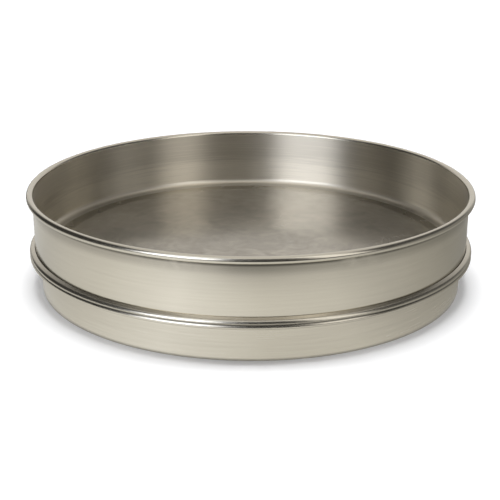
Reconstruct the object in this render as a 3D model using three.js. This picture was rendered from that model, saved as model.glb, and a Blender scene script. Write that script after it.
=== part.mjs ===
// A round stacking sieve of sheet steel: a drum with a wired rim and a turned-in foot, a disc of fine
// wire cloth on a hoop soldered to that foot, and a narrower skirt whose double bead carries the drum
// and nests in the rim of the sieve below. Millimetres, +Z up. The origin is the centre of the circle
// that the skirt stands on.
import * as THREE from "three";

// Driving dimensions
const frameBore = 304.8; // inside diameter of the drum, 12 in
const sheet = 0.8; // thickness of the drum and skirt sheet
const bowlDepth = 45.9; // from the cloth up to the top of the rim
const rimWireDiameter = 3.0; // wire that stiffens the rim
const rimWirePlay = 0.12; // clearance between the wire and the sheet curled round it
const rimCurlSweep = 290; // degrees that the sheet is curled round the wire
const cornerRadius = 3.5; // inside radius where the drum wall turns in
const footSlope = 16; // degrees that the turned-in foot falls towards the cloth
const footFall = 2.9; // height that it falls
const seatWidth = 6.0; // flat seat under the cloth, inside the sloping foot
const skirtDepth = 23.4; // from the foot of the skirt up to the stacking shoulder
const skirtClearance = 2.2; // radial play of the skirt in the rim of another sieve
const skirtTaper = 0.5; // radius that the skirt loses towards its foot
const footLand = 2.0; // upright band at the skirt's foot, so that its edge stands flat
const shoulderBend = 0.8; // inside radius where the skirt turns out to the shoulder
const beadReach = 3.9; // how far the bead stands out of the drum wall
const foldBend = 0.1; // inside radius of the bead's two folds and of the groove between them
const foldSpacing = 2.67; // from one fold up to the next
const lowerFlank = 3.0; // outside radius of the face above the lower fold
const upperFlank = 2.5; // outside radius of the face above the upper fold
const hoopThickness = 0.5; // flat hoop that the cloth is stretched on
const hoopPlay = 0.3; // clearance between the hoop and the sloping foot round it
const clothThickness = 0.3;
const solderMargin = 3.0; // how far the solder spreads over the cloth
const solderClimb = 5.5; // how far the solder spreads up the sloping foot
const seatGap = 0.05; // clearance between pieces that are pressed or soldered together

// How finely round forms are divided
const turnSteps = 72; // flats round the drum
const bendStep = 45; // degrees between points of a tight bend
const faceStep = 30; // degrees between points of the bead's round faces
const curlStep = 29; // degrees between points of the rim's curl
const cornerStep = 25; // degrees between points of the drum's corner
const solderSteps = 4; // flats across the solder
const wireSides = 10;

// Radii
const wallInside = frameBore / 2;
const wallMiddle = wallInside + sheet / 2;
const wallOutside = wallInside + sheet;
const cornerCentre = wallInside - cornerRadius;
const cornerMiddle = cornerRadius + sheet / 2;
const slope = THREE.MathUtils.degToRad(footSlope);
const slopeOutside = cornerCentre + cornerMiddle * Math.sin(slope);
const seatOutside = slopeOutside - footFall / Math.tan(slope);
const seatInside = seatOutside - seatWidth;
const hoopOutside = seatOutside - hoopPlay;
const curlRadius = rimWireDiameter / 2 + rimWirePlay + sheet / 2;
const curlCentre = wallMiddle + curlRadius;
const skirtOutside = wallInside - skirtClearance;
const skirtMiddle = skirtOutside - sheet / 2;
const shoulderCentre = skirtOutside + shoulderBend;
const foldRadius = foldBend + sheet / 2;
const lowerFace = lowerFlank - sheet / 2;
const upperFace = upperFlank - sheet / 2;
const beadMiddle = wallOutside + beadReach - sheet / 2;

// Heights of the skirt and its bead, from the skirt's foot upwards
const shoulderCentreHeight = skirtDepth - shoulderBend;
const shoulderMiddle = skirtDepth + sheet / 2;
const lowerFoldHeight = shoulderMiddle + foldRadius;
const upperFoldHeight = lowerFoldHeight + foldSpacing;

// The drum's round corner drops into the skirt until it meets the round of the shoulder
const cornerToShoulder = cornerRadius + sheet + seatGap + shoulderBend + sheet;
const cornerHeight =
  shoulderCentreHeight + Math.sqrt(cornerToShoulder ** 2 - (shoulderCentre - cornerCentre) ** 2);
const seatTop = cornerHeight - cornerMiddle * Math.cos(slope) - footFall + sheet / 2;
const hoopBottom = seatTop + seatGap;
const hoopTop = hoopBottom + hoopThickness;
const clothBottom = hoopTop + seatGap;
const clothTop = clothBottom + clothThickness;
const curlHeight = clothTop + bowlDepth - curlRadius - sheet / 2;

const point = (radius, height) => new THREE.Vector2(radius, height);

// Points of an arc in the (radius, height) half-plane, from one angle to another, in degrees
function arc(centre, radius, from, to, step) {
  const count = Math.max(1, Math.round(Math.abs(to - from) / step));
  return Array.from({ length: count + 1 }, (_, i) => {
    const angle = THREE.MathUtils.degToRad(from + ((to - from) * i) / count);
    return point(centre.x + radius * Math.cos(angle), centre.y + radius * Math.sin(angle));
  });
}

// The centre of a circle at set distances from two others, on the right of the way between them
function tangentCentre(first, firstDistance, second, secondDistance) {
  const apart = second.clone().sub(first);
  const along =
    (firstDistance ** 2 - secondDistance ** 2 + apart.lengthSq()) / (2 * apart.length());
  const aside = Math.sqrt(firstDistance ** 2 - along ** 2);
  const way = apart.clone().normalize();
  return first.clone().addScaledVector(way, along).addScaledVector(point(way.y, -way.x), aside);
}

const bearing = (from, to) => THREE.MathUtils.radToDeg(Math.atan2(to.y - from.y, to.x - from.x));

// The closed outline of a sheet that follows a middle line, half its thickness to each side
function sheetOutline(middleLine, thickness) {
  const last = middleLine.length - 1;
  const side = (sign) =>
    middleLine.map((here, i) => {
      const arriving = here.clone().sub(middleLine[Math.max(i - 1, 0)]).normalize();
      const leaving = middleLine[Math.min(i + 1, last)].clone().sub(here).normalize();
      const along = arriving.clone().add(leaving).normalize();
      const stretch = Math.max(along.dot(arriving), along.dot(leaving));
      const across = point(-along.y, along.x);
      return here.clone().addScaledVector(across, (sign * thickness) / (2 * stretch));
    });
  return [...side(-1), ...side(1).reverse()];
}

// A ring or disc of metal, turned from an outline round the sieve's axis
function turned(name, outline, color, roughness) {
  const startsOnAxis = outline[0].x === 0;
  const profile = startsOnAxis ? outline : [...outline, outline[0].clone()];
  const metal = new THREE.MeshStandardMaterial({ color, roughness, metalness: 1 });
  const mesh = new THREE.Mesh(new THREE.LatheGeometry(profile, turnSteps), metal);
  mesh.name = name;
  return mesh;
}

// The drum: from the edge of the cloth's seat, up the sloping foot, round the corner, up the wall,
// and over the rim wire
function upperFrame() {
  const seat = [seatInside, seatOutside].map((radius) => point(radius, seatTop - sheet / 2));
  const corner = arc(point(cornerCentre, cornerHeight), cornerMiddle, footSlope - 90, 0, cornerStep);
  const curl = arc(point(curlCentre, curlHeight), curlRadius, 180, 180 - rimCurlSweep, curlStep);
  return turned("upper_frame", sheetOutline([...seat, ...corner, ...curl], sheet), 0xb9b4a8, 0.35);
}

function rimWire() {
  const round = arc(point(curlCentre, curlHeight), rimWireDiameter / 2, 0, 360, 360 / wireSides);
  return turned("rim_wire", round.slice(0, -1), 0x9d998f, 0.45);
}

// The skirt: up from its foot, out along the stacking shoulder, up round the two folds of the bead with
// the groove pressed between them, and over to the drum wall, which its edge grips
function nestingSkirt() {
  const foot = [0, footLand].map((height) => point(skirtMiddle - skirtTaper, height));
  const shoulder = arc(
    point(shoulderCentre, shoulderCentreHeight), shoulderBend + sheet / 2, 180, 90, bendStep);
  const lowerFold = point(beadMiddle - foldRadius, lowerFoldHeight);
  const lowerCentre = point(beadMiddle - lowerFace, lowerFoldHeight);
  const upperFold = point(beadMiddle - foldRadius, upperFoldHeight);
  const upperCentre = point(beadMiddle - upperFace, upperFoldHeight);
  const groove = tangentCentre(lowerCentre, lowerFace + foldRadius, upperFold, 2 * foldRadius);
  const rise = bearing(lowerCentre, groove);
  const dip = bearing(upperFold, groove);
  const wallReach = (wallOutside + seatGap - upperCentre.x) / upperFlank;
  const edgeTurn = THREE.MathUtils.radToDeg(Math.acos(wallReach));
  const middleLine = [
    ...foot,
    ...shoulder,
    ...arc(lowerFold, foldRadius, -90, 0, bendStep),
    ...arc(lowerCentre, lowerFace, 0, rise, faceStep).slice(1),
    ...arc(groove, foldRadius, 180 + rise, 180 + dip, bendStep).slice(1),
    ...arc(upperFold, foldRadius, dip, 0, bendStep).slice(1),
    ...arc(upperCentre, upperFace, 0, edgeTurn, faceStep).slice(1)];
  return turned("nesting_skirt", sheetOutline(middleLine, sheet), 0xb9b4a8, 0.35);
}

function clothHoop() {
  const section = [
    point(seatInside, hoopBottom), point(hoopOutside, hoopBottom),
    point(hoopOutside, hoopTop), point(seatInside, hoopTop)];
  return turned("cloth_hoop", section, 0x9d998f, 0.45);
}

// The cloth's openings are finer than a facet, so it is a disc of the cloth's own thickness
function sieveCloth() {
  const section = [
    point(0, clothBottom), point(hoopOutside, clothBottom),
    point(hoopOutside, clothTop), point(0, clothTop)];
  return turned("sieve_cloth", section, 0xa8a395, 0.4);
}

// Solder laid round the cloth's edge and up the sloping foot, so that nothing lodges at the joint.
// Its hollow top leaves the cloth level and ends on the foot.
function jointSolder() {
  const slopeGap = seatGap / Math.cos(slope);
  const start = point(hoopOutside - solderMargin, clothTop + seatGap);
  const end = point(seatOutside + solderClimb, seatTop + solderClimb * Math.tan(slope) + slopeGap);
  const run = end.x - start.x;
  const rise = end.y - start.y;
  const hollowRadius = (run ** 2 + rise ** 2) / (2 * rise);
  const hollowSweep = THREE.MathUtils.radToDeg(Math.asin(run / hollowRadius));
  const hollow = arc(
    point(start.x, start.y + hollowRadius), hollowRadius, hollowSweep - 90, -90, hollowSweep / solderSteps);
  const bed = [
    point(hoopOutside + seatGap, start.y), point(hoopOutside + seatGap, seatTop + seatGap),
    point(seatOutside, seatTop + slopeGap)];
  return turned("joint_solder", [...bed, ...hollow], 0xbdb9ae, 0.3);
}

const sieve = new THREE.Group();
sieve.add(upperFrame(), rimWire(), nestingSkirt(), clothHoop(), sieveCloth(), jointSolder());
sieve.rotation.x = Math.PI / 2; // the turned forms stand along +Y, and the sieve along +Z

export default sieve;
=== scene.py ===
# %% [markdown]
# # A stacking sieve in satin steel
# The sieve is a drum of thin sheet with a wired rim, a disc of fine wire cloth soldered into its foot,
# and a narrower skirt whose double bead carries the drum. The CAD model of these pieces is the frame:
# it fixes every size and place. Its solids could be dressed as they are, but satin steel would show
# their flats, so each piece is turned again in fine steps and given its finish. The first step loads
# the frame.

# %% Load the frame
import math
import bpy
from mathutils import Matrix, Vector


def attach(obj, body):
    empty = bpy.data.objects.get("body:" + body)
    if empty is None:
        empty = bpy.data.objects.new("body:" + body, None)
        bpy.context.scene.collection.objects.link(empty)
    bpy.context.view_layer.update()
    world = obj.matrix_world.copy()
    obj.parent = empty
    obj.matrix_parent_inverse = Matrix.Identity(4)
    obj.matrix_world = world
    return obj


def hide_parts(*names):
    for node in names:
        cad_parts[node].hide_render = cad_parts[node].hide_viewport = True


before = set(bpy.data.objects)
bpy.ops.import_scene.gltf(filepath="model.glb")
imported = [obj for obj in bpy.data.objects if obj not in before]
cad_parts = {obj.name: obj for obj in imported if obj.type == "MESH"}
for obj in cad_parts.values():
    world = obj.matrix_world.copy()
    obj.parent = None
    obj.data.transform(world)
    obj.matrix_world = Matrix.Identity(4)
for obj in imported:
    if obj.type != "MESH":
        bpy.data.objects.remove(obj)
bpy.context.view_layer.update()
print("CAD nodes:", sorted(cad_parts))

# %% [markdown]
# ## The sizes
# The sieve is bent from one gauge of sheet, so a few sizes say almost everything: the bore, the gauge,
# the depth of bowl and skirt, and the radius of each bend. They could be measured on the frame's nodes,
# but written out they can be read, so they repeat the CAD model's sizes, in metres. The rest follows
# from them: the drum's round corner drops into the skirt until it meets the round of the shoulder, and
# the cloth, the solder and the rim are counted up from there.

# %% Sizes of the sheet and the wire
MM = 0.001
bore_radius = 152.4 * MM
gauge = 0.8 * MM  # thickness of the drum and skirt sheet
bowl_depth = 45.9 * MM  # from the cloth up to the top of the rim
wire_diameter = 3.0 * MM
wire_play = 0.12 * MM  # between the wire and the sheet curled round it
curl_sweep = 290  # degrees that the sheet is curled round the wire
corner_radius = 3.5 * MM  # inside radius where the drum wall turns in
foot_slope = math.radians(16)  # fall of the turned-in foot towards the cloth
foot_fall = 2.9 * MM  # height that it falls
seat_width = 6.0 * MM  # flat seat under the cloth
skirt_depth = 23.4 * MM  # from the foot of the skirt up to the shoulder
skirt_clearance = 2.2 * MM  # radial play in the rim of the sieve below
skirt_taper = 0.5 * MM  # radius that the skirt loses towards its foot
foot_land = 2.0 * MM  # upright band at the skirt's foot
shoulder_bend = 0.8 * MM  # inside radius where the skirt turns out
bead_reach = 3.9 * MM  # how far the bead stands out of the drum wall
fold_bend = 0.1 * MM  # inside radius of the bead's folds and of the groove between them
fold_spacing = 2.67 * MM  # from one fold up to the next
lower_flank = 3.0 * MM  # outside radius of the face above the lower fold
upper_flank = 2.5 * MM  # outside radius of the face above the upper fold
lap_turn = 66  # degrees that the upper face turns before its edge runs straight to the wall
hoop_thickness = 0.5 * MM
hoop_play = 0.3 * MM  # between the hoop and the sloping foot round it
cloth_thickness = 0.3 * MM
solder_margin = 3.0 * MM  # how far the solder spreads over the cloth
solder_climb = 5.5 * MM  # how far it spreads up the sloping foot
seat_gap = 0.05 * MM  # between pieces that are pressed together

# %% Radii and heights that follow
corner_centre = bore_radius - corner_radius
corner_middle = corner_radius + gauge / 2
skirt_outside = bore_radius - skirt_clearance
shoulder_centre = skirt_outside + shoulder_bend
shoulder_height = skirt_depth - shoulder_bend
corner_to_shoulder = corner_radius + gauge + seat_gap + shoulder_bend + gauge
corner_lift = math.sqrt(corner_to_shoulder ** 2 - (shoulder_centre - corner_centre) ** 2)
corner_height = shoulder_height + corner_lift
slope_top = (corner_centre + corner_middle * math.sin(foot_slope),
             corner_height - corner_middle * math.cos(foot_slope))
seat_outside = slope_top[0] - foot_fall / math.tan(foot_slope)
seat_edge = seat_outside - seat_width
seat_top = slope_top[1] - foot_fall + gauge / 2
hoop_outside = seat_outside - hoop_play
hoop_bottom = seat_top + seat_gap
hoop_top = hoop_bottom + hoop_thickness
cloth_bottom = hoop_top + seat_gap
cloth_top = cloth_bottom + cloth_thickness
rim_top = cloth_top + bowl_depth
print(f"cloth at {cloth_top / MM:.2f} mm, rim at {rim_top / MM:.2f} mm")

# %% [markdown]
# ## From a bent strip to a ring
# Each sheet piece is a strip that was rolled into a ring and bent in section. The section is drawn as
# the middle line of the sheet, with an arc for each bend. Half the gauge to each side gives the closed
# outline. Screw modifiers could turn it, but a mesh made ring by ring keeps full control of where the
# surface is smooth and where an edge stays sharp, and the steps are fine enough that no flats show.

# %% Draw a section
def arc(centre, radius, start, stop, step):
    """Points of an arc in the plane of radius and height, between two angles in degrees."""
    count = max(1, round(abs(stop - start) / step))
    points = []
    for index in range(count + 1):
        angle = math.radians(start + (stop - start) * index / count)
        points.append((centre[0] + radius * math.cos(angle), centre[1] + radius * math.sin(angle)))
    return points


def bearing(start, end):
    """Direction from one point of the section to another, in degrees."""
    return math.degrees(math.atan2(*(Vector(end) - Vector(start)).yx))


def tangent_centre(first, first_distance, second, second_distance):
    """Point at set distances from two others, on the right of the way between them."""
    apart = Vector(second) - Vector(first)
    along = (first_distance ** 2 - second_distance ** 2 + apart.length_squared) / (2 * apart.length)
    aside = math.sqrt(first_distance ** 2 - along ** 2)
    way = apart.normalized()
    return Vector(first) + way * along + Vector((way.y, -way.x)) * aside


def sheet_outline(middle, thickness):
    """Closed outline of a sheet that follows a middle line."""
    line = [Vector(point) for point in middle]
    near, far = [], []
    for index, here in enumerate(line):
        arriving = (here - line[max(index - 1, 0)]).normalized()
        leaving = (line[min(index + 1, len(line) - 1)] - here).normalized()
        along = (arriving + leaving).normalized()
        stretch = max(along.dot(arriving), along.dot(leaving))
        across = Vector((-along.y, along.x)) * thickness / (2 * stretch)
        near.append(here - across)
        far.append(here + across)
    return [tuple(point) for point in near + far[::-1]]


# %% Turn a section round the axis
ROUND_STEPS = 360  # flats round each piece of the sieve
SHARP_EDGE = math.radians(40)  # an edge steeper than this stays crisp


def new_object(name, vertices, faces):
    """A mesh object in the scene."""
    mesh = bpy.data.meshes.new(name)
    mesh.from_pydata(vertices, [], faces)
    made = bpy.data.objects.new(name, mesh)
    bpy.context.collection.objects.link(made)
    return made


def turned(name, outline, steps=ROUND_STEPS, closed=True):
    """A ring with the given outline, or a disc or dome where the outline isn't closed."""
    rows = []
    vertices = []
    for radius, height in outline:
        if radius == 0:
            rows.append([len(vertices)] * steps)
            vertices.append((0, 0, height))
            continue
        rows.append(list(range(len(vertices), len(vertices) + steps)))
        for step in range(steps):
            angle = 2 * math.pi * step / steps
            vertices.append((radius * math.cos(angle), radius * math.sin(angle), height))
    faces = []
    for index in range(len(rows) if closed else len(rows) - 1):
        lower, upper = rows[index], rows[(index + 1) % len(rows)]
        for step in range(steps):
            after = (step + 1) % steps
            corners = [lower[step], lower[after], upper[after], upper[step]]
            faces.append(list(dict.fromkeys(corners)))
    made = new_object(name, vertices, faces)
    made.data.shade_smooth()
    made.data.set_sharp_from_angle(angle=SHARP_EDGE)
    print(name, len(vertices), "points,", len(faces), "faces")
    return made


def seat(piece, node):
    """Put a piece in the place of its CAD node, on the sieve's one body."""
    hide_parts(node)
    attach(piece, "root")
    return piece


# %% [markdown]
# ## The drum and its wired rim
# The drum starts as the flat seat under the cloth, climbs as a sloping foot, turns up through a tight
# corner, rises as the wall, and is curled outwards round a wire. The curl is what makes thin sheet
# stiff and safe to hold. A plain torus would give the same outline from afar, but drawn as a curl it
# keeps the gap under the wire, with the cut edge turned away from the hand.

# %% Drum
curl_radius = wire_diameter / 2 + wire_play + gauge / 2
curl_centre = (bore_radius + gauge / 2 + curl_radius, rim_top - curl_radius - gauge / 2)
drum_middle = [(seat_edge, seat_top - gauge / 2), (seat_outside, seat_top - gauge / 2)]
drum_middle += arc((corner_centre, corner_height), corner_middle,
                   math.degrees(foot_slope) - 90, 0, step=5)
drum_middle += arc(curl_centre, curl_radius, 180, 180 - curl_sweep, step=10)
drum_outline = sheet_outline(drum_middle, gauge)
drum = seat(turned("drum", drum_outline), "upper_frame")

# %% Rim wire
wire_step = 15
wire_outline = arc(curl_centre, wire_diameter / 2, 0, 360 - wire_step, step=wire_step)
wire = seat(turned("wire", wire_outline), "rim_wire")

# %% [markdown]
# ## The skirt and its double bead
# The skirt is a second ring. It rises with a slight taper, turns out to the flat shoulder that rests on
# the rim of the sieve below, folds up, is pressed in to a groove, folds again, and comes back to grip
# the drum wall. Two rings of wire would look much the same, but drawing one bent line keeps the real
# order of the bends. The groove is the circle that touches the lower face and the upper fold. The last
# edge is laid straight up against the wall, a little higher than the CAD model rolls it over.

# %% Folds and groove of the bead
fold = fold_bend + gauge / 2
bead_middle = bore_radius + gauge + bead_reach - gauge / 2
lower_face = lower_flank - gauge / 2
upper_face = upper_flank - gauge / 2
lower_fold = (bead_middle - fold, skirt_depth + gauge / 2 + fold)
upper_fold = (bead_middle - fold, lower_fold[1] + fold_spacing)
lower_centre = (bead_middle - lower_face, lower_fold[1])
upper_centre = (bead_middle - upper_face, upper_fold[1])
groove = tangent_centre(lower_centre, lower_face + fold, upper_fold, 2 * fold)
groove_start = bearing(lower_centre, groove)
groove_end = bearing(upper_fold, groove)
print(f"groove centred {groove.x / MM:.2f} mm from the axis and {groove.y / MM:.2f} mm up")

# %% Skirt
foot_radius = skirt_outside - gauge / 2 - skirt_taper
skirt_middle = [(foot_radius, 0), (foot_radius, foot_land)]
skirt_middle += arc((shoulder_centre, shoulder_height), shoulder_bend + gauge / 2, 180, 90, step=10)
skirt_middle += arc(lower_fold, fold, -90, 0, step=10)
skirt_middle += arc(lower_centre, lower_face, 0, groove_start, step=5)[1:]
skirt_middle += arc(groove, fold, 180 + groove_start, 180 + groove_end, step=12)[1:]
skirt_middle += arc(upper_fold, fold, groove_end, 0, step=10)[1:]
skirt_middle += arc(upper_centre, upper_face, 0, lap_turn, step=6)[1:]
lap_start = Vector(skirt_middle[-1])
lap_angle = math.radians(lap_turn)
lap_end = bore_radius + gauge + seat_gap + math.cos(lap_angle) * gauge / 2
lap_way = Vector((-1, 1 / math.tan(lap_angle)))
skirt_middle.append(tuple(lap_start + lap_way * (lap_start.x - lap_end)))
skirt = seat(turned("skirt", sheet_outline(skirt_middle, gauge)), "nesting_skirt")

# %% [markdown]
# ## Hoop, cloth and solder
# The cloth is stretched on a flat hoop, the hoop is laid on the drum's seat, and solder is wiped round
# the cloth's edge and up the sloping foot, so that nothing lodges at the joint. The solder's face is
# one hollow arc. It meets the cloth at a small contact angle, with its edge sunk a hair below the
# surface, because a face that ran out level would flicker against the cloth. Single wires could be
# modelled, but they are finer than the camera can see, so the weave is left to the finish and the
# cloth itself is a thin disc.

# %% Hoop and cloth
hoop_outline = [(seat_edge, hoop_bottom), (hoop_outside, hoop_bottom)]
hoop_outline += [(hoop_outside, hoop_top), (seat_edge, hoop_top)]
hoop = seat(turned("hoop", hoop_outline), "cloth_hoop")
cloth_outline = [(0, cloth_bottom), (hoop_outside, cloth_bottom)]
cloth_outline += [(hoop_outside, cloth_top), (0, cloth_top)]
cloth = seat(turned("cloth", cloth_outline, closed=False), "sieve_cloth")

# %% Solder
solder_gap = 0.01 * MM  # between the solder and the sheet that it wets
solder_sunk = 0.03 * MM  # depth of its inner edge in the cloth
contact_turn = 2.2  # degrees between the solder's face and the cloth
slope_gap = solder_gap / math.cos(foot_slope)
solder_start = Vector((hoop_outside - solder_margin, cloth_top - solder_sunk))
solder_end = Vector((seat_outside + solder_climb,
                     seat_top + solder_climb * math.tan(foot_slope) + slope_gap))
end_turn = 2 * bearing(solder_start, solder_end) - contact_turn
contact_angle = math.radians(contact_turn)
hollow_span = math.sin(math.radians(end_turn)) - math.sin(contact_angle)
hollow_radius = (solder_end.x - solder_start.x) / hollow_span
hollow_way = Vector((-math.sin(contact_angle), math.cos(contact_angle)))
hollow_centre = solder_start + hollow_way * hollow_radius
solder_back = hoop_outside + solder_gap
solder_outline = [(solder_back, solder_start.y), (solder_back, seat_top + solder_gap)]
solder_outline += [(seat_outside, seat_top + slope_gap)]
solder_outline += arc(hollow_centre, hollow_radius, end_turn - 90, contact_turn - 90, step=0.6)
solder = seat(turned("solder", solder_outline), "joint_solder")

# %% [markdown]
# ## Writing finishes as arithmetic
# A finish is a small formula over the surface. Wiring Math nodes by hand hides the formula, so one
# class wraps a socket and lets Python's operators add the nodes. Its other methods add any node, and
# the few that come back often: noise, smooth steps, colour mixes and ramps.

# %% Stops of a colour ramp
def set_stops(elements, stops):
    """Give a colour ramp its places and colours."""
    while len(elements) < len(stops):
        elements.new(0.5)
    for element, (position, colour) in zip(elements, stops):
        element.position = position
        element.color = (*colour, 1)


# %% A socket that does arithmetic
class Wired:
    """A shader socket with Python arithmetic, and methods that add other nodes."""

    def __init__(self, tree, socket=None):
        self.tree = tree
        self.socket = socket

    def add(self, kind, sockets=None, output=0, stops=(), **settings):
        """Add a node, apply its settings or stops, fill its sockets, and return one output."""
        node = self.tree.nodes.new(kind)
        for name, value in settings.items():
            setattr(node, name, value)
        if stops:
            set_stops(node.color_ramp.elements, stops)
        for name, value in (sockets or {}).items():
            if isinstance(value, Wired):
                self.tree.links.new(value.socket, node.inputs[name])
            else:
                node.inputs[name].default_value = value
        return Wired(self.tree, node.outputs[output] if node.outputs else None)

    def maths(self, operation, first, second=0.0):
        return self.add("ShaderNodeMath", {0: first, 1: second}, operation=operation)

    def __add__(self, other):
        return self.maths("ADD", self, other)

    def __sub__(self, other):
        return self.maths("SUBTRACT", self, other)

    def __rsub__(self, other):
        return self.maths("SUBTRACT", other, self)

    def __mul__(self, other):
        return self.maths("MULTIPLY", self, other)

    def __truediv__(self, other):
        return self.maths("DIVIDE", self, other)

    def __rtruediv__(self, other):
        return self.maths("DIVIDE", other, self)

    __radd__ = __add__
    __rmul__ = __mul__

    def swing(self, amount):
        """A noise that runs from 0 to 1, moved to swing about 0 by the given amount."""
        return (self - 0.5) * amount

    def between(self, low, high):
        """0 below low, 1 above high, and a smooth rise from one to the other."""
        limits = {"Value": self, "From Min": low, "From Max": high}
        return self.add("ShaderNodeMapRange", limits, interpolation_type="SMOOTHSTEP")

    def within(self, low, high, soft):
        """1 between low and high and 0 outside, with soft edges."""
        return self.between(low - soft, low + soft) * (1 - self.between(high - soft, high + soft))

    def distance(self, other):
        """Length of a step whose two sides are this socket and another."""
        return self.maths("SQRT", self * self + other * other)

    def blend(self, first, second):
        """Mix of two colours, with this socket as the share of the second."""
        colours = {0: self, 6: first, 7: second}
        return self.add("ShaderNodeMix", colours, output=2, data_type="RGBA")

    def ramp(self, stops):
        """Colours at set places along this socket."""
        return self.add("ShaderNodeValToRGB", {0: self}, stops=stops)

    def noise(self, scale, detail, roughness, distortion=0.0):
        """Noise at the place that this vector socket gives."""
        sockets = {"Vector": self, "Scale": scale, "Detail": detail, "Roughness": roughness,
                   "Distortion": distortion}
        return self.add("ShaderNodeTexNoise", sockets)

    def vector(self, x, y, z):
        return self.add("ShaderNodeCombineXYZ", {0: x, 1: y, 2: z})

    def place(self):
        """The point in metres, and its three coordinates."""
        point = self.add("ShaderNodeTexCoord", output="Object")
        parts = point.add("ShaderNodeSeparateXYZ", {0: point}).socket.node.outputs
        return point, *[Wired(self.tree, part) for part in parts]

    def metal(self, colour, roughness, bump, anisotropy=0.0, rotation=0.0):
        """Bare metal; the rotation of its anisotropy is in turns."""
        sockets = {"Base Color": colour, "Metallic": 1.0, "Roughness": roughness, "Normal": bump,
                   "Anisotropic": anisotropy, "Anisotropic Rotation": rotation}
        return self.add("ShaderNodeBsdfPrincipled", sockets)


def new_finish(name):
    """An empty node material and the wrapper that fills it."""
    material = bpy.data.materials.new(name)
    material.use_nodes = True
    material.node_tree.nodes.clear()
    return material, Wired(material.node_tree)


def close(material, surface):
    """Give a finish its surface."""
    surface.add("ShaderNodeOutputMaterial", {"Surface": surface})
    print(material.name, "finish,", len(material.node_tree.nodes), "nodes")


def shaded(tint, share):
    """A colour that is darker or lighter than the tint by a share."""
    return (*[min(1, channel * share) for channel in tint], 1)


# %% [markdown]
# ## Satin steel
# The sheet was brushed as it turned, so fine scratches run round every ring. Seen as a whole they
# spread each reflection upright, across the scratches, while it stays narrow along them. That is what
# the anisotropy of the shader gives, turned a quarter because its spread runs along the ring by
# default. Single scratches could be drawn in a picture, but noise stretched round the ring needs none:
# sampling it at the cosine and sine of the angle leaves no seam. Stains from handling change the
# colour and the gloss a little. The colour also carries painted light: the lower inside wall is painted
# lighter than its top, and painted shade darkens the sheet under the rim, in and under the bead, along
# the foot and in the inside corner. Each patch of painted shade has a centre in the section.

# %% Coordinates round the ring
def round_ring(nodes):
    """Point, radius, the cosine and sine of the angle round the axis, and height."""
    point, x, y, height = nodes.place()
    radius = x.distance(y)
    return point, radius, x / radius, y / radius, height


# %% Brushed sheet
scratch_stretch = 3  # noise cells round a ring's radius
fine_pitch = 0.4 * MM
line_pitch = 1.3 * MM
scratch_depth = 0.04 * MM
dull_sheet = 0.86  # darkest and lightest shade of the sheet, as shares of its tint
bright_sheet = 1.12
# Painted light: the inside wall is painted lighter low down and darker high up; full below the first
# height, gone above the second.
lower_light_full = cloth_top + 12 * MM
lower_light_gone = cloth_top + 30 * MM
# Painted shade: a dark brown laid into the colour in crevices and under overhangs, where shade falls.
painted_shade_colour = (0.05, 0.045, 0.035, 1)
painted_shade_core = 0.35  # share of a patch's reach that is fully dark with painted shade
painted_shade_levels = (0.2, 0.45)  # levels of the stains at which the painted shade starts and is full


def brushed_steel(name, tint, roughness, anisotropy, scratch=1.0, shade_patches=(), painted_wall_light=0.0):
    """Sheet or wire brushed round the ring, with painted shade at the given patches and optional
    painted light low on the wall.
    """
    material, nodes = new_finish(name)
    point, radius, across, along, height = round_ring(nodes)

    def scratches(pitch):
        """Noise stretched round the ring, with the given spacing across the scratches."""
        way = nodes.vector(across * scratch_stretch, along * scratch_stretch, (height + radius) / pitch)
        return way.noise(scale=1, detail=4, roughness=0.65)

    fine = scratches(fine_pitch)
    lines = scratches(line_pitch)
    stains = point.noise(scale=22, detail=5, roughness=0.6)
    shade = fine.swing(0.5 * scratch) + lines.swing(1.1 * scratch) + stains.swing(0.35) + 0.5
    # Painted light: the lower wall is painted lighter and the upper darker.
    if painted_wall_light:
        lower_wall_light = 1 - height.between(lower_light_full, lower_light_gone)
        shade = shade + lower_wall_light.swing(painted_wall_light)
    colour = shade.blend(shaded(tint, dull_sheet), shaded(tint, bright_sheet))
    # Painted shade: near each patch's centre the colour turns dark, broken up by the stains.
    for shade_patch in shade_patches:
        centre_radius, centre_height = shade_patch["centre"]
        away = (radius - centre_radius).distance(height - centre_height)
        shade_mask = 1 - away.between(painted_shade_core * shade_patch["reach"], shade_patch["reach"])
        shade_amount = shade_mask * stains.between(*painted_shade_levels) * shade_patch["depth"]
        colour = shade_amount.blend(colour, painted_shade_colour)
    gloss = fine.swing(0.08 * scratch) + lines.swing(0.12 * scratch) + stains.swing(0.08) + roughness
    relief = {"Strength": 0.12 * scratch, "Distance": scratch_depth, "Height": fine}
    bump = nodes.add("ShaderNodeBump", relief)
    close(material, nodes.metal(colour, gloss, bump, anisotropy, rotation=0.25))
    return material


# %% Where shade is painted
under_rim = (bore_radius + 1.6 * MM, curl_centre[1] - curl_radius)
under_bead = (bead_middle - gauge / 2, skirt_depth - 0.1 * MM)
groove_mouth = (groove.x, groove.y + 0.35 * MM)
skirt_edge = (foot_radius + gauge / 2, 0)
# Painted shade: a dark line in the crevice under the curled rim, and a wider soft darkening of the wall
# below it.
rim_lip_shade = dict(centre=under_rim, reach=3.2 * MM, depth=1.0)
under_rim_shade = dict(centre=under_rim, reach=10.0 * MM, depth=0.3)
# Painted shade: under the bead's lower fold and in the mouth of its groove.
under_bead_shade = dict(centre=under_bead, reach=1.2 * MM, depth=0.8)
groove_shade = dict(centre=groove_mouth, reach=1.1 * MM, depth=0.75)
# Painted shade: a dark band round the skirt's foot where it meets the floor.
foot_edge_shade = dict(centre=skirt_edge, reach=2.0 * MM, depth=0.25)
# Painted shade: a soft darkening in the inside corner where the solder meets the sloping foot.
inner_corner_shade = dict(centre=solder_end, reach=6.0 * MM, depth=0.42)

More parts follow.
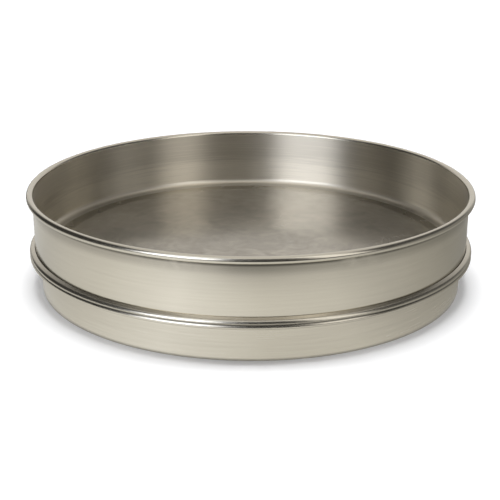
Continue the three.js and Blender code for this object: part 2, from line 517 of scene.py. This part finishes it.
# %% Dress the sheet and the wire
outer_tint = (0.66, 0.625, 0.54)
# Painted light: the inside is the same sheet as the outside, with its tint painted lighter.
inside_lit_tint = (0.725, 0.685, 0.6)
wire_tint = (0.5, 0.48, 0.43)
hoop_tint = (0.56, 0.54, 0.49)
drum_finishes = [
    brushed_steel("drum_steel", outer_tint, roughness=0.165, anisotropy=0.1, scratch=0.5,
                  shade_patches=[under_rim_shade, rim_lip_shade]),
    brushed_steel("drum_inside", inside_lit_tint, roughness=0.38, anisotropy=0.84, scratch=2.0,
                  shade_patches=[inner_corner_shade], painted_wall_light=1.0),
    brushed_steel("rim_steel", outer_tint, roughness=0.23, anisotropy=0.1, scratch=0.4,
                  shade_patches=[rim_lip_shade])]
for finish in drum_finishes:
    drum.data.materials.append(finish)
skirt.data.materials.append(
    brushed_steel("skirt_steel", outer_tint, roughness=0.25, anisotropy=0.1, scratch=0.7,
                  shade_patches=[under_bead_shade, groove_shade, foot_edge_shade]))
wire.data.materials.append(brushed_steel("wire_steel", wire_tint, roughness=0.4, anisotropy=0.3))
hoop.data.materials.append(brushed_steel("hoop_steel", hoop_tint, roughness=0.38, anisotropy=0.4))

# %% Inside and rim of the drum
INSIDE = 1  # place in the drum's list of finishes
RIM = 2
inside_start = len(drum_outline) // 2  # the outline follows the outside first, then comes back inside
for face in drum.data.polygons:
    if face.index // ROUND_STEPS >= inside_start:
        on_curl = face.center.xy.length > bore_radius + gauge or face.center.z > curl_centre[1]
        face.material_index = RIM if on_curl else INSIDE
dressed_faces = [face.material_index for face in drum.data.polygons]
print("faces inside the drum:", dressed_faces.count(INSIDE))
print("faces on its rim:", dressed_faces.count(RIM))

# %% [markdown]
# ## Wire cloth and solder
# The cloth is plain weave of drawn wire, rolled flat, and it shines almost like sheet. Modelled wires
# would be finer than a pixel, so two waves at right angles give the crossing wires, and the openings
# between them are darker. The crowns of the wires mirror the wall, and a share of rougher metal for
# their flanks softens that mirror. Stains, scuffs and rub marks from scrapers mottle it. The solder was
# wiped while hot, so it is smooth with slow ripples.

# %% Cloth
wire_pitch = 0.4 * MM
rub_pitch = 2.2 * MM
rub_stretch = 4  # noise cells round the cloth's radius
weave_depth = 0.03 * MM
weave_levels = (0.15, 0.6)  # levels of the weave at which an opening ends and a wire is full
dull_opening = 0.45  # shade of the openings, as a share of the tint
dull_wires = 0.74  # darkest and lightest shade of the wires
bright_wires = 1.26
flank_share = 0.28
flank_roughness = 0.6


def wire_cloth(name, tint, roughness):
    """Fine woven wire with stains, scuffs and rub marks."""
    material, nodes = new_finish(name)
    point, radius, across, along, _ = round_ring(nodes)
    waves = math.pi / wire_pitch
    warp = nodes.maths("ABSOLUTE", nodes.maths("SINE", across * radius * waves))
    weft = nodes.maths("ABSOLUTE", nodes.maths("SINE", along * radius * waves))
    wires = nodes.maths("MAXIMUM", warp, weft)
    stains = point.noise(scale=16, detail=5, roughness=0.6)
    scuffs = point.noise(scale=75, detail=5, roughness=0.65, distortion=1.2)
    sweep = nodes.vector(across * rub_stretch, along * rub_stretch, radius / rub_pitch)
    rubbed = sweep.noise(scale=1, detail=5, roughness=0.65)
    shade = stains.swing(1.7) + scuffs.swing(1.5) + rubbed.swing(0.8) + 0.5
    wire_colour = shade.blend(shaded(tint, dull_wires), shaded(tint, bright_wires))
    colour = wires.between(*weave_levels).blend(shaded(tint, dull_opening), wire_colour)
    bump = nodes.add("ShaderNodeBump", {"Strength": 0.03, "Distance": weave_depth, "Height": wires})
    crowns = nodes.metal(colour, stains.swing(0.08) + roughness, bump)
    flanks = nodes.metal(colour, flank_roughness, bump)
    close(material, nodes.add("ShaderNodeMixShader", {0: flank_share, 1: crowns, 2: flanks}))
    return material


cloth_tint = (0.51, 0.48, 0.42)
cloth.data.materials.append(wire_cloth("cloth_steel", cloth_tint, roughness=0.18))

# %% Solder finish
ripple_depth = 0.2 * MM
dull_ripple = 0.93  # shade between the ripples, as a share of the tint


def wiped_solder(name, tint, roughness):
    """Smooth solder with slow ripples."""
    material, nodes = new_finish(name)
    point = nodes.place()[0]
    ripples = point.noise(scale=90, detail=3, roughness=0.5)
    colour = ripples.blend(shaded(tint, dull_ripple), shaded(tint, 1))
    bump = nodes.add("ShaderNodeBump", {"Strength": 0.08, "Distance": ripple_depth, "Height": ripples})
    close(material, nodes.metal(colour, ripples.swing(0.1) + roughness, bump))
    return material


solder_tint = (0.4, 0.375, 0.32)
solder.data.materials.append(wiped_solder("joint_solder", solder_tint, roughness=0.26))

# %% [markdown]
# ## The floor
# The sieve was photographed on white. Steel has no look of its own and shows what stands round it, so
# one white floor would have to serve two ends: the plain white that the camera sees, and the levels
# that the steel mirrors. Two planes are easier to steer. The floor takes the lamps' light and the
# shadow, with a small cool lift that fills the shadow for direct views. The table a hair above it is
# seen by reflections alone.

# %% Floor
stage_half = 12.0  # half width of the floor, in metres
floor_height = -0.1 * MM
floor_colour = (0.94, 0.94, 0.945, 1)
lift_colour = (0.94, 0.97, 1.05, 1)
lift_strength = 0.13


def stage_plane(name, half, height):
    """A level square that belongs to the studio."""
    corners = [(x * half, y * half, height) for x, y in ((-1, -1), (1, -1), (1, 1), (-1, 1))]
    plane = new_object(name, corners, [(0, 1, 2, 3)])
    print(name, "plane,", 2 * half, "m wide")
    return plane


def seen_directly(nodes):
    """1 for rays of the camera, of reflections and through clear things, and 0 for the others."""
    rays = nodes.add("ShaderNodeLightPath").socket.node.outputs
    kinds = ("Is Camera Ray", "Is Glossy Ray", "Is Transmission Ray")
    camera_ray, glossy_ray, clear_ray = [Wired(nodes.tree, rays[kind]) for kind in kinds]
    return nodes.maths("MAXIMUM", nodes.maths("MAXIMUM", camera_ray, glossy_ray), clear_ray)


floor = stage_plane("floor", stage_half, floor_height)
floor_paper, paper_nodes = new_finish("floor_paper")
paper = paper_nodes.add("ShaderNodeBsdfDiffuse", {"Color": floor_colour})
lift_level = seen_directly(paper_nodes) * lift_strength
lift = paper_nodes.add("ShaderNodeEmission", {"Color": lift_colour, "Strength": lift_level})
close(floor_paper, paper_nodes.add("ShaderNodeAddShader", {0: paper, 1: lift}))
floor.data.materials.append(floor_paper)

# %% [markdown]
# ## The studio that the steel mirrors
# A bright soft box stood to the left of the camera and a weaker one to the right, with a dark gap
# between them where the camera was. Area lamps could stand in for them, but lamps give hard-edged
# reflections. So a dome that only reflections see carries them as windows of turn and climb with soft
# edges. A pale wall behind the sieve runs up into the light overhead, and a faint light lies low at the
# right. Turn 0 is the camera's side, and the left is negative.

# %% Reflection dome
dome_radius = 2.4
dome_steps = 96  # flats round the dome
dome_ring = 3.75  # degrees between its rings
DEGREES = 180 / math.pi


def only_reflected(thing):
    """Hide a piece of the studio from every ray but those of reflections."""
    thing.visible_camera = False
    thing.visible_diffuse = False
    thing.visible_shadow = False
    thing.visible_transmission = False
    thing.visible_volume_scatter = False


def turn_from_camera(nodes, x, y):
    """Angle round the axis in degrees, from the camera's side, with the right positive."""
    return nodes.maths("ARCTAN2", x, 0 - y) * DEGREES


dome_outline = arc((0, 0), dome_radius, 0, 90, step=dome_ring)
studio = turned("studio_dome", dome_outline, dome_steps, closed=False)
only_reflected(studio)

# %% Light of the dome
room_level = 0.04
behind_level = 0.72
behind_turns = (128, 150)  # where the wall behind starts and is full, in degrees
overhead_level = 0.7
overhead_climbs = (46, 64)  # where the overhead light starts and is full
overhead_drop = 9  # degrees that it reaches lower behind the sieve
drop_turns = (105, 135)  # where that drop starts and is full
fill_level = 1.3
low_side_level = 0.22
tall_side_level = 0.05
key_level = 0.9
key_hot_level = 2.1  # added in the lower part of the soft box
hot_climbs = (24, 50)  # where that part starts to fade and is gone
room_colour = (1, 0.97, 0.93, 1)
key_colour = (0.97, 1, 1.08, 1)

studio_light, dome_nodes = new_finish("studio_light")
_, dome_x, dome_y, dome_z = dome_nodes.place()
dome_turn = turn_from_camera(dome_nodes, dome_x, dome_y)
climb = dome_nodes.maths("ARCSINE", dome_z / dome_radius) * DEGREES
aside = dome_nodes.maths("ABSOLUTE", dome_turn)
overhead = (climb + aside.between(*drop_turns) * overhead_drop).between(*overhead_climbs)
behind = aside.between(*behind_turns) * (1 - overhead)


# %% Windows of the dome
def window(turns, climbs, soft):
    """A patch of the dome between two turns and two climbs, with soft edges, in degrees."""
    return dome_turn.within(*turns, soft) * climb.within(*climbs, soft)


key = window(turns=(-53, -16), climbs=(2, 64), soft=6)
fill = window(turns=(30, 56), climbs=(2, 62), soft=5)
low_side = window(turns=(70, 136), climbs=(-4, 12), soft=7)
tall_side = window(turns=(80, 136), climbs=(-4, 42), soft=8)
side = low_side * low_side_level + tall_side * tall_side_level
room = room_level + behind * behind_level + overhead * overhead_level + fill * fill_level + side
hot = 1 - climb.between(*hot_climbs)
room_light = dome_nodes.add("ShaderNodeEmission", {"Color": room_colour, "Strength": room})
key_strength = key * (hot * key_hot_level + key_level)
soft_box = dome_nodes.add("ShaderNodeEmission", {"Color": key_colour, "Strength": key_strength})
close(studio_light, dome_nodes.add("ShaderNodeAddShader", {0: room_light, 1: soft_box}))
studio.data.materials.append(studio_light)

# %% [markdown]
# ## The table that the steel mirrors
# The upright outside wall mirrors the floor round the sieve. That floor is brightest under the soft
# box and warmer and darker to the right, it fades with distance, and a dark patch lies on the camera's
# side. A painted picture could hold this, but a ramp round the axis and a few smooth steps of the
# distance say it in the open. Under the sieve the table is clear.

# %% Table
table_height = 0.4 * MM
table_levels = [  # turn in degrees, level, warmth
    (-180, 0.6, 0.06), (-90, 0.64, 0.06), (-52, 0.86, 0.06), (-24, 1.14, 0.025), (4, 0.88, 0.07),
    (28, 0.82, 0.07), (48, 0.6, 0.08), (62, 0.5, 0.1), (86, 0.36, 0.12), (110, 0.3, 0.12),
    (180, 0.6, 0.06)]
table_stops = []
for angle, level, warmth in table_levels:
    table_stops.append((angle / 360 + 0.5, (level, level * (1 - warmth / 4), level * (1 - warmth))))

table = stage_plane("studio_table", dome_radius, table_height)
only_reflected(table)
table_light, table_nodes = new_finish("table_light")
_, table_x, table_y, _ = table_nodes.place()
table_turn = turn_from_camera(table_nodes, table_x, table_y)
reach = table_x.distance(table_y)

# %% Light of the table
# Each reach says where its change starts and is full, in metres from the axis.
sieve_shadow_loss = 0.12  # painted shadow of the sieve, beside it
sieve_shadow_reach = (0.17, 0.24)  # where that loss goes again
fade_loss = 0.14  # further out, all round
middle_fade_loss = 0.36  # further out, on the camera's side
fade_reach = (0.22, 0.345)
patch_loss = 0.95  # in the dark patch on the camera's side
patch_reach = (0.262, 0.312)  # counted straight towards the camera
distant_loss = 0.85  # far off
distant_gain = 0.6  # far off at the right, taken from that loss
distant_reach = (0.33, 0.6)
clear_reach = (0.1495, 0.152)  # where the clear part under the sieve ends

toward_camera = 0 - table_y
middle = table_turn.between(-45, -15) * (1 - table_turn.between(30, 60))
patch_turn = table_turn.between(-17, -5) * (1 - table_turn.between(24, 50))
right_side = table_turn.between(50, 75)
patch = patch_turn * toward_camera.between(*patch_reach)
# Painted shadow: the table is darker beside the sieve, as the sieve's shadow.
near = 1 - sieve_shadow_loss + reach.between(*sieve_shadow_reach) * sieve_shadow_loss
fading = 1 - reach.between(*fade_reach) * (fade_loss + middle * middle_fade_loss)
distant = 1 - reach.between(*distant_reach) * (distant_loss - right_side * distant_gain)
table_strength = fading * near * (1 - patch * patch_loss) * distant
table_colour = (table_turn / 360 + 0.5).ramp(table_stops)
glow = table_nodes.add("ShaderNodeEmission", {"Color": table_colour, "Strength": table_strength})
clear = table_nodes.add("ShaderNodeBsdfTransparent")
outside_foot = reach.between(*clear_reach)
close(table_light, table_nodes.add("ShaderNodeMixShader", {0: outside_foot, 1: clear, 2: glow}))
table.data.materials.append(table_light)

# %% [markdown]
# ## Lamps and world
# A soft lamp overhead gives the shadow that starts dark at the foot and fades within a few
# centimetres, and two weaker ones from the sides keep it short at the left and right. Area lamps would
# do, but suns light the floor evenly, and their softness is one angle. Reflections don't see them: the
# steel has the dome for that. The world is a low even light that shows as white.

# %% Lamps
def soft_sun(name, lean, heading, energy, softness):
    """A wide distant lamp for the floor, unseen by the steel; its angles are in degrees."""
    lamp = bpy.data.lights.new(name, "SUN")
    lamp.energy = energy
    lamp.angle = math.radians(softness)
    sun = bpy.data.objects.new(name, lamp)
    sun.rotation_euler = (math.radians(lean), 0, math.radians(heading))
    sun.visible_glossy = False
    bpy.context.collection.objects.link(sun)
    print(name, "of strength", energy, "leaning", lean, "degrees")


soft_sun("overhead_lamp", lean=-2, heading=0, energy=2.4, softness=24)
soft_sun("left_lamp", lean=52, heading=-100, energy=0.6, softness=24)
soft_sun("right_lamp", lean=52, heading=100, energy=0.6, softness=24)

# %% World
world_level = 0.14
world = bpy.data.worlds.new("studio_world")
world.use_nodes = True
world.node_tree.nodes.clear()
world_nodes = Wired(world.node_tree)
world_strength = world_level + seen_directly(world_nodes) * (1 - world_level)
backing = world_nodes.add("ShaderNodeBackground", {"Color": (1, 1, 1, 1), "Strength": world_strength})
world_nodes.add("ShaderNodeOutputWorld", {"Surface": backing})
bpy.context.scene.world = world
print("world of strength", world_level)

# %% [markdown]
# ## The camera
# The view looks down by about twenty degrees from a little over three quarters of a metre. A camera
# could be placed by eye, but its place, lens and slight roll come from matching the rim, the bead and
# the foot line of the photograph.

# %% Camera
eye = Vector((0, -0.726, 0.2782))
target = Vector((0, 0, 0.01704))
roll = math.radians(0.19)
picture_width = 500  # pixels
shift_pixels = -0.61
aim = (target - eye).to_track_quat("-Z", "Y").to_matrix().to_4x4()
lens = bpy.data.cameras.new("camera")
lens.sensor_width = 36
lens.lens = 76.25
lens.shift_x = shift_pixels / picture_width
lens.clip_end = 60
camera = bpy.data.objects.new("camera", lens)
camera.matrix_world = Matrix.Translation(eye) @ aim @ Matrix.Rotation(roll, 4, "Z")
bpy.context.collection.objects.link(camera)
bpy.context.scene.camera = camera
bpy.context.scene.view_settings.view_transform = "Standard"
print(f"camera {(target - eye).length:.3f} m from its target, with a lens of {lens.lens:.2f} mm")
